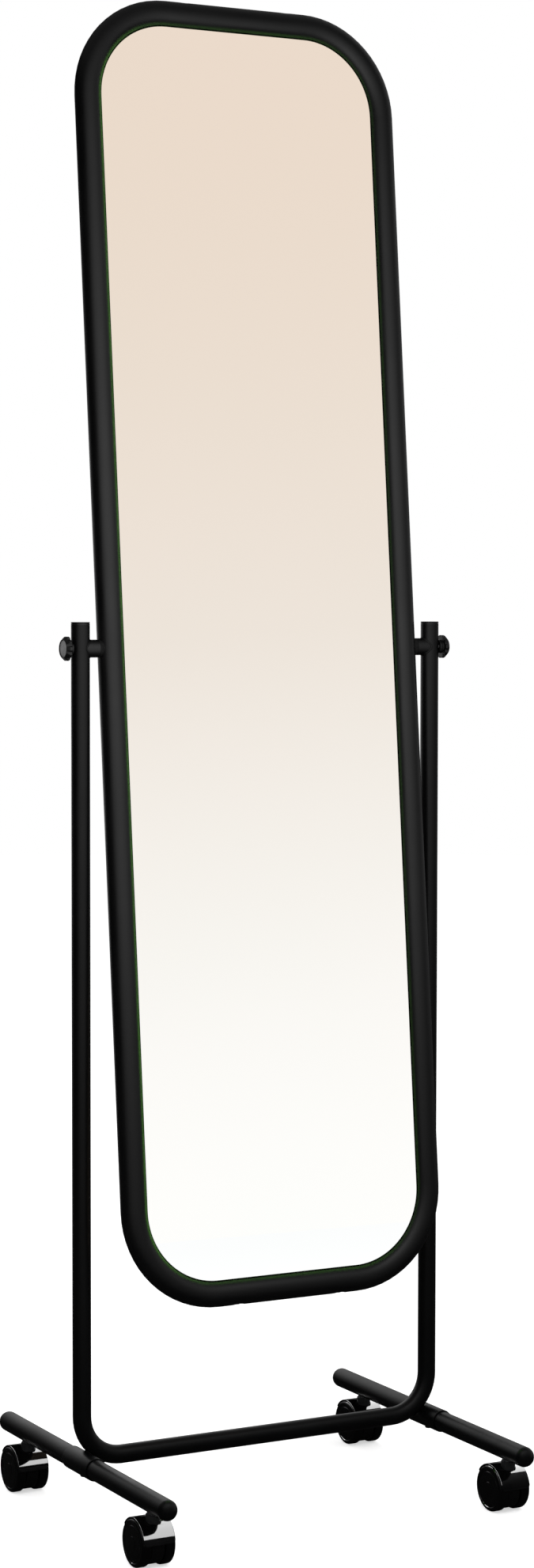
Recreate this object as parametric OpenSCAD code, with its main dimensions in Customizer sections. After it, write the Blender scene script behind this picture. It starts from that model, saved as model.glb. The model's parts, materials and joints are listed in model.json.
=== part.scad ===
// Rolling floor mirror: a round-tube mirror frame that tilts in a U-shaped stand on four swivel casters.
// Millimetres. +X is to the right, the glass faces -Y and +Z is up.
// The origin is on the floor, under the middle of the feet.

/* [Stand] */
// Gap between the mirror frame and each post
side_gap = 11; // [8:0.5:30]
// Height of the tilt axis above the floor
pivot_z = 938; // [830:1:1100]
// Height of the post tops above the tilt axis
post_above_pivot = 28; // [26:1:60]
// Distance of the U tube behind the middle of the feet
post_y = 5; // [0:0.5:15]
// Outer diameter of the U tube
tube_d = 20; // [19.5:0.5:25]
// Wall of the U tube
tube_wall = 1.5; // [1:0.1:2.5]
// Height of the rail axis above the foot axis
rail_rise = 3.5; // [0:0.5:6]
// Depth to which the U bends are notched round the sleeves
weld_bite = 0.85; // [0.4:0.05:1]

/* [Feet] */
// Outer diameter of the foot tubes
foot_d = 22; // [19:0.5:25]
// Wall of the foot tubes
foot_wall = 1.5; // [1:0.1:2]
// Length of a foot tube without its end caps
foot_len = 397; // [330:1:520]
// Length of the sleeve on a foot tube
sleeve_len = 60; // [44:1:90]
// Wall of the sleeve
sleeve_wall = 1.2; // [1:0.1:3]
// Radial clearance between the foot tube and its sleeve
sleeve_clear = 0.2; // [0.05:0.05:0.3]
// Distance of a front caster from the front end of its foot tube
caster_front_in = 31.5; // [26:0.5:70]
// Distance of a rear caster from the rear end of its foot tube
caster_rear_in = 51.5; // [26:0.5:80]
// Depth of the plugs of the end caps
plug_depth = 12; // [8:1:16]
// Radial clearance of the plugs in the tubes
plug_clear = 0.1; // [0.05:0.05:0.3]
// Thickness of the head of a post cap
post_cap_t = 3.5; // [2.5:0.5:6]

/* [Mirror] */
// Outer width of the mirror frame
frame_w = 388; // [345:1:480]
// Height of the frame's top above the tilt axis
frame_top = 700; // [500:1:760]
// Depth of the frame's bottom below the tilt axis
frame_bottom = 706; // [500:1:740]
// Outer diameter of the frame tube
frame_d = 28; // [25:0.5:32]
// Wall of the frame tube
frame_wall = 1.2; // [1:0.1:2]
// Radius of the frame corners on the tube axis
corner_r = 95; // [60:1:104]
// Backward tilt of the mirror
tilt = 5.3; // [0:0.1:15]
// Thickness of the mirror glass
glass_t = 4; // [3:0.5:5]
// Distance of the glass face in front of the frame's axis
glass_front = 3.7; // [2:0.1:5]
// Gap between the edge of the glass and the frame tube
glass_gap = 1.5; // [1:0.1:3]
// Thickness of the backing board
board_t = 5; // [4:0.5:6]
// Thickness of the tabs that carry the backing board
tab_t = 1.5; // [1:0.1:2]
// Width of a tab along the frame
tab_w = 20; // [14:1:30]
// Reach of a tab over the backing board
tab_reach = 14; // [12:0.5:20]

/* [Frame joints] */
// Distance of a frame screw from the bend beside it
frame_screw_in = 23; // [20:1:30]
// Distance of the end of a frame plug from the bend beside it
frame_plug_in = 10; // [2:1:11]
// Depth of the dimple pressed round a frame screw
dimple_depth = 3; // [2.6:0.1:4]
// Width of the dimple
dimple_w = 17; // [14:0.5:18]

/* [Pivot] */
// Difference in radius between a post and its pivot stub
stub_step = 0.5; // [0.3:0.1:2]
// Diameter of the knob bolts
bolt_d = 6; // [5:0.5:8]
// Radial running clearance round the knob bolts
bolt_clear = 0.08; // [0.02:0.01:0.1]
// Least thickness of the saddle washers
saddle_t = 1.3; // [0.8:0.1:2]
// Gap between the faces that turn on each other at the pivot
pivot_gap = 0.3; // [0.1:0.05:0.3]
// Depth to which the bolt is screwed into the frame
bolt_reach = 11; // [9:0.5:12]

/* [Knobs] */
// Diameter over the lobes of a knob
knob_d = 26; // [24:0.5:40]
// Number of lobes on a knob
knob_lobes = 10; // [5:1:12]
// Height of the lobes along the axis
knob_t = 6.2; // [5.8:0.1:12]
// Length of the neck between the post and the lobes
knob_neck = 4; // [3.5:0.1:8]
// Diameter of the neck
knob_neck_d = 14.5; // [13:0.5:17]
// Diameter of the hollows between the lobes
knob_hollow_d = 4.4; // [3:0.1:8]
// Diameter of the cap in the face of a knob
knob_cap_d = 17.8; // [14:0.1:18]
// Depth of the cap below the rim of the knob
knob_cap_in = 0.8; // [0:0.1:3]

/* [Casters] */
// Diameter of the wheels
wheel_d = 50; // [48:0.5:54]
// Width of one wheel
wheel_w = 11.1; // [9:0.1:14]
// Height of a caster's seat above its wheels
caster_rise = 6; // [5.5:0.5:16]
// Distance of the axle behind the swivel axis
trail = 10; // [8.5:0.5:14]
// Diameter of the axles
axle_d = 5; // [4:0.5:6]
// Diameter of the collar on the stem
collar_d = 15.5; // [12:0.5:16]
// Diameter of the swivel pin and of the stem's thread
stem_d = 8; // [6:0.5:9]
// Thickness of the hood over the wheels
hood_t = 1.3; // [1:0.1:2]
// Radial clearance between the wheels and the hood
hood_clear = 0.5; // [0.3:0.1:1]
// Gap between a wheel and the collar beside it
collar_side_gap = 0.3; // [0.3:0.1:2]
// Radial running clearance of the swivel pin and the axles
run_clear = 0.05; // [0.02:0.01:0.1]

/* [Hidden] */
$fn = 96;
// Reach of a cut that passes through a whole piece.
far = 400;
// Overshoot of a cut past the face that it starts from.
over = 1;
// Gap left where two pieces are welded, pressed or screwed together.
fit_up = 0.05;

tube_r = tube_d / 2;
foot_r = foot_d / 2;
wheel_r = wheel_d / 2;
post_x = frame_w / 2 + side_gap + tube_r;
caster_h = wheel_d + caster_rise;
boss_lip = 0.5;
foot_z = caster_h + boss_lip + foot_r;
foot_end = foot_len / 2;
rail_z = foot_z + rail_rise;
sleeve_r = foot_r + sleeve_clear + sleeve_wall;
sleeve_screw_r = 2.5;
sleeve_head_r = 4;
sleeve_head_t = 1.8;
sleeve_screw_out = 2;

// The bend that brings the U tube's outer side against the sleeve, less the notch.
bend_reach = tube_r + sleeve_r - weld_bite;
bend_a = bend_reach - rail_rise;
bend_r = bend_a + sqrt(bend_a ^ 2 + bend_reach ^ 2 - rail_rise ^ 2);
post_top = pivot_z + post_above_pivot;
post_cap_edge = 0.6;
post_cap_ring_h = 0.5;
post_cap_ring_in = 0.4;

frame_r = frame_d / 2;
side_x = frame_w / 2 - frame_r;
top_v = frame_top - frame_r;
bottom_v = frame_bottom - frame_r;
straight_x = side_x - corner_r;
glass_inset = frame_r + glass_gap;
board_front = glass_t - glass_front;
tab_front = board_front + board_t;
tab_root = sqrt(frame_r ^ 2 - (tab_front + tab_t) ^ 2) - over;
tab_end = glass_inset + tab_reach;
board_screw_z = glass_inset + tab_reach / 2;
board_screw_r = 1.75;
board_head_r = 3.5;
board_head_t = 2;
board_skin = 1;
board_bite = board_t - board_skin;

// Places along the tilt axis, from the middle outwards.
frame_out = frame_w / 2;
saddle_face = frame_out + saddle_t;
stub_face = saddle_face + pivot_gap;
knob_face = post_x + tube_r + pivot_gap;
lobes_face = knob_face + knob_neck;
knob_end = lobes_face + knob_t;
bolt_r = bolt_d / 2;
bolt_bore_r = bolt_r + bolt_clear;
bolt_end = frame_out - bolt_reach;
hole_slack = 0.3;
knob_cap_t = 1;
knob_cap_clear = 0.1;
bolt_head_t = 4;
bolt_head_r = bolt_r * 1.9;
cap_face = knob_end - knob_cap_in;
bolt_head = cap_face - knob_cap_t - bolt_head_t;
stub_r = tube_r - stub_step;
insert_wall = 1.5;
insert_r = bolt_r + insert_wall;
insert_past = 1;
insert_end = bolt_end - insert_past;
flare_r = insert_r + insert_wall;
flare_t = 3;
knob_shoulder = 3;
knob_edge = 0.6;
knob_bevel = 1;
knob_bevel_in = 0.3;

// The ball that presses a dimple of the stated width and depth.
dimple_r = (dimple_w ^ 2 / 4 + dimple_depth ^ 2) / (2 * dimple_depth);
frame_screw_x = straight_x - frame_screw_in;
frame_plug_x = straight_x - frame_plug_in;
frame_screw_r = 2;
frame_head_r = 4;
frame_head_t = 1.8;
frame_screw_len = 12;
frame_screw_end = frame_r - dimple_depth - frame_screw_len;

// Caster places, measured from the floor and from the swivel axis.
axle_r = axle_d / 2;
web_floor_gap = 2;
web_disc_r = wheel_r - web_floor_gap;
hood_in = wheel_r + hood_clear;
hood_out = hood_in + hood_t;
thrust_gap = 0.1;
stem_r = stem_d / 2;
collar_r = collar_d / 2;
collar_len = 10;
collar_edge = 1;
collar_z = caster_h - collar_len;
collar_pocket_gap = 0.6;
pin_over_axle = 3;
pin_end = wheel_r + pin_over_axle;
pin_floor_gap = 0.5;
boss_wall = 2.5;
boss_r = stem_r + boss_wall;
boss_top = foot_z + sqrt((foot_r - foot_wall) ^ 2 - boss_r ^ 2) - 4 * fit_up;
thread_in = 1.5;
thread_top = boss_top - thread_in;
wheel_in = collar_r + collar_side_gap;
web_side_gap = 0.7;
web_r = wheel_in - web_side_gap;
wheel_out = wheel_in + wheel_w;
wheel_face_t = 1.8;
wheel_dish_t = 0.8;
wheel_rim_t = 3;
wheel_rim_w = 4.5;
wheel_hub_wall = 3.5;
wheel_round_r = 2;
axle_end_gap = 0.2;
axle_end = wheel_out - wheel_face_t - 2 * axle_end_gap;
hood_in_edge = 1.2;
hood_edge = wheel_out - hood_in_edge;
hood_front_deg = 4;
hood_rear_deg = 150;

// Name, side and place along the foot of each caster.
CORNERS = [
    ["left_front", -1, caster_front_in - foot_end],
    ["left_rear", -1, foot_end - caster_rear_in],
    ["right_front", 1, caster_front_in - foot_end],
    ["right_rear", 1, foot_end - caster_rear_in]
];
SIDES = [["left", -1], ["right", 1]];
ENDS = [["front", -1], ["rear", 1]];
WHEELS = [["outer", 1], ["inner", -1]];

// ---- placing ----

module on_side(s) {
    if (s < 0) mirror([1, 0, 0]) children();
    else children();
}

module at_foot(s) {
    translate([s * post_x, 0, foot_z]) children();
}

module at_caster(c) {
    translate([c[1] * post_x, c[2], 0]) children();
}

// The mirror's own frame: x across, z up the glass and y through it, about the tilt axis.
module in_mirror() {
    translate([0, post_y, pivot_z]) rotate([-tilt, 0, 0]) children();
}

module on_tilt_axis() {
    translate([0, post_y, pivot_z]) children();
}

// ---- shared forms ----

module along_x(r, x0, x1) {
    translate([x0, 0, 0]) rotate([0, 90, 0]) cylinder(r = r, h = x1 - x0);
}

module along_y(r, y0, y1) {
    translate([0, y0, 0]) rotate([-90, 0, 0]) cylinder(r = r, h = y1 - y0);
}

// A quarter bend in the XZ plane, from angle a0 onwards.
module quarter_bend(path_r, r, a0) {
    rotate([90, 0, 0]) rotate([0, 0, a0]) rotate_extrude(angle = 90) translate([path_r, 0]) circle(r);
}

// Half-section of a plate with a rounded outer rim, for revolving: u is radial and v is axial.
module rounded_rim(u1, v0, v1, r) {
    translate([0, v0]) square([u1 - r, v1 - v0]);
    translate([0, v0 + r]) square([u1, v1 - v0 - 2 * r]);
    translate([u1 - r, v0 + r]) circle(r);
    translate([u1 - r, v1 - r]) circle(r);
}

// ---- stand ----

// The solid line of the U tube at radius r, with its ends at top_z.
module u_run(r, top_z) {
    for (s = SIDES) on_side(s[1]) {
        translate([post_x, 0, rail_z + bend_r]) cylinder(r = r, h = top_z - rail_z - bend_r);
        translate([post_x - bend_r, 0, rail_z + bend_r]) quarter_bend(bend_r, r, 270);
    }
    translate([0, 0, rail_z]) along_x(r, bend_r - post_x, post_x - bend_r);
}

module u_tube() {
    tube_top = post_top - post_cap_t;
    color("#26272a") difference() {
        translate([0, post_y, 0]) difference() {
            u_run(tube_r, tube_top);
            u_run(tube_r - tube_wall, tube_top + over);
        }
        on_tilt_axis() along_x(bolt_r + hole_slack, -far, far);
        for (s = SIDES) at_foot(s[1]) along_y(sleeve_r + fit_up, -far, far);
    }
}

module sleeve() {
    color("#26272a") difference() {
        along_y(sleeve_r, -sleeve_len / 2, sleeve_len / 2);
        along_y(foot_r + sleeve_clear, -far, far);
        translate([0, 0, -sleeve_r - over]) cylinder(r = sleeve_screw_r + fit_up, h = sleeve_r);
    }
}

module sleeve_screws() {
    color("#3a3b3e") for (s = SIDES) at_foot(s[1]) translate([0, 0, -sleeve_r]) {
        cylinder(r = sleeve_screw_r, h = sleeve_r - foot_r + foot_wall + sleeve_screw_out);
        translate([0, 0, -sleeve_head_t]) cylinder(r = sleeve_head_r, h = sleeve_head_t);
    }
}

module foot_tube() {
    color("#26272a") difference() {
        along_y(foot_r, -foot_end, foot_end);
        along_y(foot_r - foot_wall, -far, far);
        translate([0, 0, -foot_r - over]) cylinder(r = sleeve_screw_r + fit_up, h = foot_r);
        for (y = [caster_front_in - foot_end, foot_end - caster_rear_in])
            translate([0, y, -foot_r - over]) cylinder(r = boss_r + fit_up, h = foot_r);
    }
}

// A domed plug cap for the +Y end of a foot tube.
module foot_cap() {
    color("#17181a") translate([0, foot_end, 0]) rotate([-90, 0, 0]) {
        rotate_extrude() intersection() {
            circle(foot_r);
            square(foot_r);
        }
        translate([0, 0, -plug_depth]) cylinder(r = foot_r - foot_wall - plug_clear, h = plug_depth);
    }
}

// A flat plug cap with a shallow ring round its head.
module post_cap() {
    t = post_cap_t;
    edge = post_cap_edge;
    color("#17181a") translate([0, 0, post_top - t]) {
        rotate_extrude() difference() {
            polygon([[0, 0], [tube_r, 0], [tube_r, t - edge], [tube_r - edge, t], [0, t]]);
            translate([tube_r - post_cap_ring_in, (t - post_cap_ring_h) / 2]) square([over, post_cap_ring_h]);
        }
        translate([0, 0, -plug_depth]) cylinder(r = tube_r - tube_wall - plug_clear, h = plug_depth);
    }
}

// A drilled boss, notched round the post and welded to it.
module pivot_stub() {
    color("#26272a") difference() {
        along_x(stub_r, stub_face, post_x);
        along_x(bolt_bore_r, -far, far);
        translate([post_x, 0, -far]) cylinder(r = tube_r + fit_up, h = 2 * far);
    }
}

// Threaded bosses welded into the undersides of the foot tubes.
module caster_bosses() {
    color("#6f7276") for (c = CORNERS) at_caster(c) translate([0, 0, caster_h]) difference() {
        cylinder(r = boss_r, h = boss_top - caster_h);
        translate([0, 0, -over]) cylinder(r = stem_r + fit_up, h = boss_top);
    }
}

// Thread, collar and swivel pin in one piece, on the swivel axis.
module caster_stem() {
    low_r = collar_r - collar_edge;
    color("#1b1c1e") {
        translate([0, 0, caster_h]) cylinder(r = stem_r, h = thread_top - caster_h);
        translate([0, 0, collar_z]) rotate_extrude()
            polygon([[0, 0], [low_r, 0], [collar_r, collar_edge], [collar_r, collar_len], [0, collar_len]]);
        translate([0, 0, pin_end]) cylinder(r = stem_r, h = collar_z - pin_end);
    }
}

// ---- mirror ----

// The solid line of one half of the frame tube at radius r, from the seams outwards.
module half_frame_run(r) {
    translate([0, 0, top_v]) along_x(r, 0, straight_x);
    translate([0, 0, -bottom_v]) along_x(r, 0, straight_x);
    translate([straight_x, 0, top_v - corner_r]) quarter_bend(corner_r, r, 0);
    translate([straight_x, 0, corner_r - bottom_v]) quarter_bend(corner_r, r, 270);
    translate([side_x, 0, corner_r - bottom_v]) cylinder(r = r, h = top_v + bottom_v - 2 * corner_r);
}

// Places children at the top and the bottom frame screw of the right half, z pointing outwards.
module at_frame_screws() {
    translate([frame_screw_x, 0, top_v]) children();
    translate([frame_screw_x, 0, -bottom_v]) mirror([0, 0, 1]) children();
}

module dimple_ball(wall) {
    translate([0, 0, frame_r - dimple_depth + dimple_r]) sphere(dimple_r + wall);
}

// Right half of the frame: one tube with two bends, open at the seams.
module frame_half() {
    color("#232427") difference() {
        union() {
            difference() {
                half_frame_run(frame_r);
                half_frame_run(frame_r - frame_wall);
                for (v = [top_v, -bottom_v]) translate([0, 0, v]) along_x(frame_r - frame_wall, -over, over);
            }
            at_frame_screws() intersection() {
                dimple_ball(frame_wall);
                along_x(frame_r - frame_wall / 2, -dimple_w, dimple_w);
            }
        }
        at_frame_screws() {
            dimple_ball(0);
            cylinder(r = frame_screw_r + fit_up, h = far);
        }
        along_x(insert_r + fit_up, side_x, far);
    }
}

// Plug that joins the frame halves, seated under the dimples.
module frame_plug(v, up) {
    plug_r = frame_r - frame_wall - plug_clear;
    color("#2b2c2e") difference() {
        translate([0, 0, v]) along_x(plug_r, -frame_plug_x, frame_plug_x);
        for (s = SIDES) on_side(s[1]) translate([frame_screw_x, 0, v]) mirror([0, 0, up ? 0 : 1]) {
            dimple_ball(frame_wall + fit_up);
            translate([0, 0, frame_screw_end]) cylinder(r = frame_screw_r + fit_up, h = far);
        }
    }
}

module frame_screws() {
    head_seat = frame_r - dimple_depth + dimple_r - sqrt(dimple_r ^ 2 - frame_head_r ^ 2);
    color("#1b1c1e") for (s = SIDES) on_side(s[1]) at_frame_screws() {
        translate([0, 0, head_seat]) cylinder(r = frame_head_r, h = frame_head_t);
        translate([0, 0, frame_screw_end]) cylinder(r = frame_screw_r, h = head_seat - frame_screw_end);
    }
}

// Threaded insert clinched into the frame's side tube.
module pivot_insert() {
    flare_out = side_x + sqrt((frame_r - frame_wall) ^ 2 - flare_r ^ 2) - 2 * fit_up;
    color("#8d9095") difference() {
        union() {
            along_x(insert_r, insert_end, side_x + sqrt(frame_r ^ 2 - insert_r ^ 2));
            along_x(flare_r, flare_out - flare_t, flare_out);
        }
        along_x(bolt_bore_r, -far, far);
    }
}

// Washer with one face hollowed to the frame tube and one flat face to the stub.
module saddle_washer() {
    color("#151617") difference() {
        along_x(stub_r, side_x, saddle_face);
        translate([side_x, 0, -far]) cylinder(r = frame_r + fit_up, h = 2 * far);
        along_x(bolt_bore_r, -far, far);
    }
}

// Plate with round corners that fills the frame, its edge set in from the tube axis, from y0 to y0 + t.
module pane(inset, y0, t) {
    half_w = side_x - inset;
    top = top_v - inset;
    bottom = bottom_v - inset;
    r = corner_r - inset;
    translate([0, y0 + t, 0]) rotate([90, 0, 0]) linear_extrude(t) {
        translate([-half_w, r - bottom]) square([2 * half_w, top + bottom - 2 * r]);
        translate([r - half_w, -bottom]) square([2 * (half_w - r), top + bottom]);
        for (x = [-1, 1], z = [top - r, r - bottom]) translate([x * (half_w - r), z]) circle(r);
    }
}

module mirror_glass() {
    color("#dfe6e4") pane(glass_inset, -glass_front, glass_t);
}

module backing_board() {
    color("#4a4038") difference() {
        pane(glass_inset, board_front, board_t);
        at_tabs() translate([0, 0, board_screw_z])
            along_y(board_screw_r + fit_up, tab_front - board_bite, far);
    }
}

// Places children at every tab: origin on the tube axis, z pointing inwards over the board.
module at_tabs() {
    side_len = top_v + bottom_v - 2 * corner_r;
    for (s = SIDES) on_side(s[1]) {
        for (k = [1, 3, 5, 7]) translate([side_x, 0, corner_r - bottom_v + side_len * k / 8])
            rotate([0, -90, 0]) children();
        translate([straight_x / 2, 0, -bottom_v]) children();
        translate([straight_x / 2, 0, top_v]) rotate([0, 180, 0]) children();
    }
}

// Steel tabs welded inside the frame, behind the backing board.
module board_tabs() {
    color("#26272a") at_tabs() difference() {
        translate([-tab_w / 2, tab_front, tab_root]) cube([tab_w, tab_t, tab_end - tab_root]);
        along_x(frame_r + fit_up, -tab_w, tab_w);
        translate([0, 0, board_screw_z]) along_y(board_screw_r + fit_up, 0, far);
    }
}

module board_screws() {
    color("#8d9095") at_tabs() translate([0, 0, board_screw_z]) {
        along_y(board_screw_r, tab_front - board_bite, tab_front + tab_t);
        along_y(board_head_r, tab_front + tab_t, tab_front + tab_t + board_head_t);
    }
}

// ---- knobs ----

// Half-section of the knob along its axis: u is radial, v is outwards from the neck's face.
module knob_section() {
    r = knob_d / 2;
    bevel_v = knob_t - knob_shoulder;
    square([knob_neck_d / 2, knob_neck + over]);
    translate([0, knob_neck]) polygon([
        [0, 0], [r - knob_edge, 0], [r, knob_edge], [r, bevel_v - knob_bevel],
        [r - knob_bevel_in, bevel_v], [r - knob_shoulder, knob_t], [0, knob_t]
    ]);
}

// Star outline: a disc with a hollow between every two lobes.
module star() {
    hollow_r = knob_hollow_d / 2;
    difference() {
        circle(knob_d / 2);
        for (i = [0 : knob_lobes - 1]) rotate(90 + 360 * (i + 0.5) / knob_lobes)
            translate([knob_d / 2 + hollow_r * 0.35, 0]) circle(hollow_r);
    }
}

// Star knob on the right post, its bolt head pocket and cap seat open outwards.
module knob() {
    color("#111214") difference() {
        translate([knob_face, 0, 0]) rotate([0, 90, 0]) intersection() {
            rotate_extrude() knob_section();
            union() {
                cylinder(r = knob_neck_d / 2, h = knob_neck + knob_t);
                translate([0, 0, knob_neck]) linear_extrude(knob_t) star();
            }
        }
        along_x(bolt_r + fit_up, 0, far);
        translate([bolt_head, 0, 0]) rotate([0, 90, 0]) cylinder(r = bolt_head_r + fit_up, h = far, $fn = 6);
        along_x(knob_cap_d / 2 + knob_cap_clear, cap_face - knob_cap_t, far);
    }
}

module knob_bolt() {
    color("#9a9da1") {
        along_x(bolt_r, bolt_end, bolt_head);
        translate([bolt_head, 0, 0]) rotate([0, 90, 0]) cylinder(r = bolt_head_r, h = bolt_head_t, $fn = 6);
    }
}

module knob_cap() {
    color("#6a6a6a") along_x(knob_cap_d / 2, cap_face - knob_cap_t, cap_face);
}

// ---- casters, about the swivel axis with the axle behind it ----

module at_axle() {
    translate([0, trail, wheel_r]) children();
}

// Outlines here lie in the plane of the wheels: x points to the rear and y up.

// The part of an outline between the hood's front edge, over the top, and its rear edge.
module hood_sector() {
    start = 180 - hood_rear_deg;
    end = 180 - hood_front_deg;
    intersection() {
        children();
        polygon(concat([[0, 0]], [for (a = [start, (start + end) / 2, end]) far * [cos(a), sin(a)]]));
    }
}

module across_wheels(half_w) {
    rotate([90, 0, 90]) translate([0, 0, -half_w]) linear_extrude(2 * half_w) children();
}

// Fender over both wheels and, filling the space between them, a web with the axle hole and the pin's socket.
module caster_hood() {
    color("#0c0d0f") difference() {
        at_axle() {
            across_wheels(hood_edge) hood_sector() difference() {
                circle(hood_out);
                circle(hood_in);
            }
            across_wheels(web_r) {
                hood_sector() circle(hood_in + hood_t / 2);
                circle(web_disc_r);
            }
        }
        at_axle() along_x(axle_r, -far, far);
        translate([0, 0, collar_z - thrust_gap]) cylinder(r = collar_r + collar_pocket_gap, h = far);
        translate([0, 0, pin_end - pin_floor_gap]) cylinder(r = stem_r + run_clear, h = far);
    }
}

module caster_axle() {
    color("#9a9da1") at_axle() along_x(axle_r, -axle_end, axle_end);
}

// One wheel on the +X side of the axle: tread rim, dished outer face and hub with a blind bore.
module caster_wheel() {
    hub_r = axle_r + wheel_hub_wall;
    color("#101113") at_axle() rotate([0, 90, 0]) rotate_extrude() difference() {
        rounded_rim(wheel_r, wheel_in, wheel_out, wheel_round_r);
        translate([hub_r, 0]) square([wheel_r - wheel_rim_t - hub_r, wheel_out - wheel_face_t]);
        square([axle_r + run_clear, axle_end + axle_end_gap]);
        translate([0, wheel_out - wheel_dish_t]) square([wheel_r - wheel_rim_w, wheel_dish_t + over]);
    }
}

// ---- assembly ----

u_tube();
sleeve_screws();
caster_bosses();
for (s = SIDES) {
    at_foot(s[1]) sleeve();
    at_foot(s[1]) foot_tube();
    translate([s[1] * post_x, post_y, 0]) post_cap();
    on_tilt_axis() on_side(s[1]) pivot_stub();
    for (e = ENDS) {
        at_foot(s[1]) rotate(e[1] < 0 ? 180 : 0) foot_cap();
    }
}
for (s = SIDES) {
    in_mirror() on_side(s[1]) frame_half();
    in_mirror() on_side(s[1]) pivot_insert();
    in_mirror() on_side(s[1]) saddle_washer();
    on_tilt_axis() on_side(s[1]) knob();
    on_tilt_axis() on_side(s[1]) knob_bolt();
    on_tilt_axis() on_side(s[1]) knob_cap();
}
in_mirror() frame_plug(top_v, true);  // frame_plug_top
in_mirror() frame_plug(-bottom_v, false);  // frame_plug_bottom
in_mirror() frame_screws();
in_mirror() mirror_glass();
in_mirror() backing_board();
in_mirror() board_tabs();
in_mirror() board_screws();
for (c = CORNERS) {
    at_caster(c) caster_stem();
    at_caster(c) caster_hood();
    at_caster(c) caster_axle();
    for (w = WHEELS) {
        at_caster(c) on_side(c[1] * w[1]) caster_wheel();
    }
}
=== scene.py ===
"""Looks of the rolling floor mirror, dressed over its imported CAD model. Lengths are in metres."""
import json
import math

import bmesh
import bpy
import numpy as np
from mathutils import Matrix, Vector


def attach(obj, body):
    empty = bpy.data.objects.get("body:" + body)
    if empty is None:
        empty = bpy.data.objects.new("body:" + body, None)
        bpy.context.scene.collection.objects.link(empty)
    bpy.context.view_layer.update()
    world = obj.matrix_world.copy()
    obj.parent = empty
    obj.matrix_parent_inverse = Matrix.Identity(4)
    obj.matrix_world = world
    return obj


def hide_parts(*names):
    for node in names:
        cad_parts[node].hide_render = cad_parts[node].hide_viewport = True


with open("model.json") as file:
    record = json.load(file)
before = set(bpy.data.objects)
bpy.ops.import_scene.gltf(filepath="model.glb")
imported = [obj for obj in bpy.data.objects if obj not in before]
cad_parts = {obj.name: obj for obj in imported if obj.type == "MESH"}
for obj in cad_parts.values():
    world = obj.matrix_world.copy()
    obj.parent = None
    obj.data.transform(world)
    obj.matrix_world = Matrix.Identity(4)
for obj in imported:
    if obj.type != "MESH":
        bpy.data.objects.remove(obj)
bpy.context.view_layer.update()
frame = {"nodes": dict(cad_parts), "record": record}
nodes = frame["nodes"]

# ---- the model's own places ----

SIDES = (("left", -1), ("right", 1))
ENDS = (("front", -1), ("rear", 1))

# Stand: the posts and rail of the U tube, the feet, and what is plugged or welded to them.
POST_X, POST_Y, POST_TOP, TUBE_R = 0.215, 0.005, 0.966, 0.010
RAIL_Z, BEND_R = 0.071, 0.0459418
FOOT_Z, FOOT_END, FOOT_R = 0.0675, 0.1985, 0.011
SLEEVE_R, SLEEVE_IN_R, SLEEVE_LEN = 0.0124, 0.0112, 0.060
STUB_R = 0.0095
STUB_BEAD_R, SLEEVE_BEAD_R = 0.0011, 0.0013
POST_CAP_T = 0.0035
PLUG_IN, PLUG_LEN, PLUG_EASE = 0.0016, 0.012, 0.0006

# Mirror: its own plane tilts about the pivot, and V runs up that plane.
PIVOT_Z = 0.938
TILT = math.radians(5.3)
SIDE_X, TOP_V, BOTTOM_V, CORNER_R, FRAME_R = 0.180, 0.686, 0.692, 0.095, 0.014
STRAIGHT_X = SIDE_X - CORNER_R
STRAIGHT_V = TOP_V + BOTTOM_V - 2 * CORNER_R
GLASS_FRONT, GLASS_T, GLASS_ARRIS = -0.0037, 0.004, 0.0007
GLASS_BACK = GLASS_FRONT + GLASS_T
# How far inside the frame tube's axis the solid pane ends, and the pane that is drawn.
GLASS_INSET, PANE_INSET = 0.0155, 0.0140
BOARD_T, TAB_T, TAB_HOLE_IN = 0.005, 0.0015, 0.007
DIMPLE_DEPTH, DIMPLE_BALL, HEAD_R, FRAME_SCREW_IN = 0.003, 0.013542, 0.004, 0.023

# Knobs: KNOB_FACE is where a knob starts out from the pivot, and its own heights count from there.
KNOB_FACE, KNOB_NECK, KNOB_T, KNOB_R, KNOB_LOBES = 0.2253, 0.004, 0.0062, 0.013, 10
KNOB_NECK_R, KNOB_HOLLOW_R, KNOB_BORE_R, KNOB_LIP = 0.00725, 0.0022, 0.0031, 0.0009
KNOB_CAP_R, KNOB_CAP_IN, KNOB_CAP_T = 0.0089, 0.0008, 0.0010
KNOB_TOP = KNOB_NECK + KNOB_T
KNOB_END = KNOB_FACE + KNOB_NECK + KNOB_T

# Casters: the wheels' axle is TRAIL behind the swivel and WHEEL_R over the floor.
WHEEL_R, WHEEL_IN, WHEEL_OUT, TRAIL = 0.025, 0.00805, 0.01915, 0.010
WHEEL_BORE_R, WHEEL_BORE_LEN = 0.0026, 0.0088
HOOD_IN, HOOD_OUT, HOOD_EDGE, HOOD_ROLL, HOOD_CORNER = 0.0255, 0.0268, 0.01795, 0.0006, 0.0045
HOOD_FRONT, HOOD_REAR = math.radians(4), math.radians(150)
WEB_HALF, WEB_DISC_R, WEB_EASE = 0.00735, 0.023, 0.0005
COLLAR_Z, COLLAR_R, COLLAR_TOP = 0.046, 0.00775, 0.056
STEM_R, STEM_FOOT, STEM_TOP, AXLE_R = 0.004, 0.028, 0.0735, 0.0025
CORNERS = (
    ("left_front", -1, -0.167),
    ("left_rear", -1, 0.147),
    ("right_front", 1, -0.167),
    ("right_rear", 1, 0.147),
)

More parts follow.
